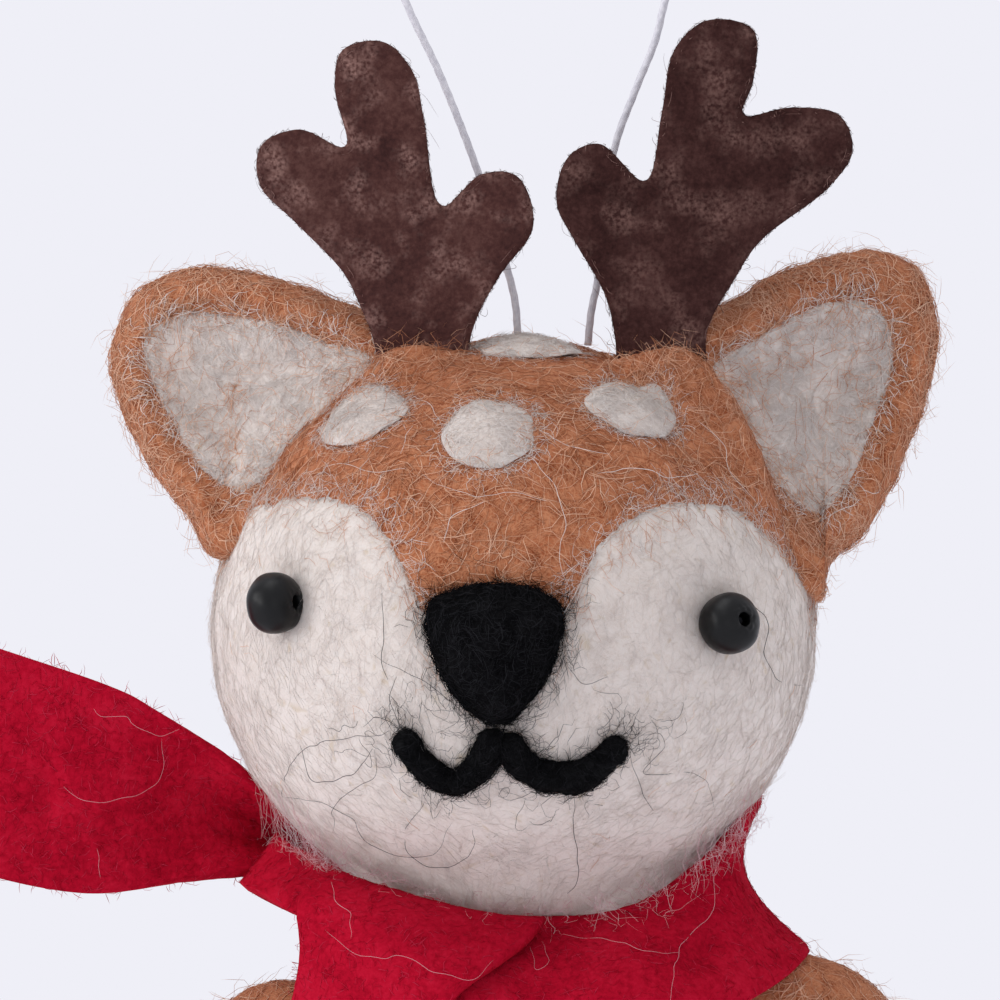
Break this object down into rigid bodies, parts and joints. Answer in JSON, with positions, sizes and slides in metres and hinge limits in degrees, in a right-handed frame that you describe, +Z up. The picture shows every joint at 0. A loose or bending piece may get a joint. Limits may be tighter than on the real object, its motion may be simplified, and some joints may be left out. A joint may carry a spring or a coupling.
{
  "type": "felted reindeer hanging ornament",
  "caption": "Needle-felted wool reindeer ornament with felt-sheet antlers, bead eyes and a red felt scarf, hung from a thread loop.",
  "frame": {"origin": "inside the top of the hanging loop, where a hook or twig carries it", "axes": "+Z up, -Y out of the face, +X to the viewer's right facing the face"},
  "size_m": [0.094, 0.051, 0.1687],
  "materials": {
    "tan_wool": "needle-felted wool, matt, fuzzy",
    "white_wool": "needle-felted wool, matt, fuzzy",
    "black_wool": "needle-felted wool, matt, tight",
    "core_wool": "coarse undyed core wool",
    "hoof_wool": "needle-felted wool, matt",
    "antler_felt": "pressed felt sheet, mottled",
    "red_felt": "pressed felt sheet",
    "loop_thread": "twisted thread",
    "sewing_thread": "twisted thread",
    "bead": "semi-gloss"
  },
  "bodies": {
    "loop": {"hanging_cord": "loop_thread", "cord_knot": "loop_thread"},
    "toy": {"cord_stitch": "loop_thread", "antler_left": "antler_felt", "antler_right": "antler_felt", "ear_left": "tan_wool", "ear_right": "tan_wool", "ear_lining_left": "white_wool", "ear_lining_right": "white_wool", "eye_bead_left": "bead", "eye_bead_right": "bead", "eye_thread_left": "sewing_thread", "eye_thread_right": "sewing_thread", "head_core": "core_wool", "head_coat": "tan_wool", "face_coat": "white_wool", "nose": "black_wool", "mouth_left": "black_wool", "mouth_right": "black_wool", "spot_left": "white_wool", "spot_centre": "white_wool", "spot_right": "white_wool", "spot_crown": "white_wool", "neck_stem": "core_wool", "body_core": "core_wool", "body_coat": "tan_wool", "tail": "tan_wool", "scarf_wrap": "red_felt"},
    "left_arm": {"arm_left": "tan_wool", "hand_hoof_left": "hoof_wool"},
    "right_arm": {"arm_right": "tan_wool", "hand_hoof_right": "hoof_wool"},
    "left_leg": {"leg_left": "tan_wool", "foot_hoof_left": "hoof_wool"},
    "right_leg": {"leg_right": "tan_wool", "foot_hoof_right": "hoof_wool"},
    "side_tail": {"scarf_side_tail": "red_felt"},
    "front_tail": {"scarf_front_tail": "red_felt"}
  },
  "joints": [
    {"name": "hang_swing", "type": "hinge", "parent": "loop", "child": "toy", "pos_m": [0.0014, 0, -0.05665], "axis": [1, 0, 0], "range_deg": [-15, 50]},
    {"name": "arm_left_flex", "type": "hinge", "parent": "toy", "child": "left_arm", "pos_m": [-0.0151, -0.00038, -0.11175], "axis": [1, 0, 0], "range_deg": [-12, 12], "stiffness_Nm_per_rad": 0.01},
    {"name": "arm_right_flex", "type": "hinge", "parent": "toy", "child": "right_arm", "pos_m": [0.0155, -0.00038, -0.11052], "axis": [1, 0, 0], "range_deg": [-12, 12], "stiffness_Nm_per_rad": 0.01},
    {"name": "leg_left_flex", "type": "hinge", "parent": "toy", "child": "left_leg", "pos_m": [-0.00808, -0.00022, -0.1425], "axis": [1, 0, 0], "range_deg": [-12, 12], "stiffness_Nm_per_rad": 0.01},
    {"name": "leg_right_flex", "type": "hinge", "parent": "toy", "child": "right_leg", "pos_m": [0.00848, -0.00022, -0.1425], "axis": [1, 0, 0], "range_deg": [-12, 12], "stiffness_Nm_per_rad": 0.01},
    {"name": "side_tail_flap", "type": "hinge", "parent": "toy", "child": "side_tail", "pos_m": [-0.02021, 0.00201, -0.0968], "axis": [0, 0, 1], "range_deg": [-15, 15], "stiffness_Nm_per_rad": 0.004},
    {"name": "front_tail_lift", "type": "hinge", "parent": "toy", "child": "front_tail", "pos_m": [-0.00755, -0.01116, -0.10106], "axis": [-0.9431, 0.237, 0.233], "range_deg": [0, 35], "stiffness_Nm_per_rad": 0.004}
  ]
}
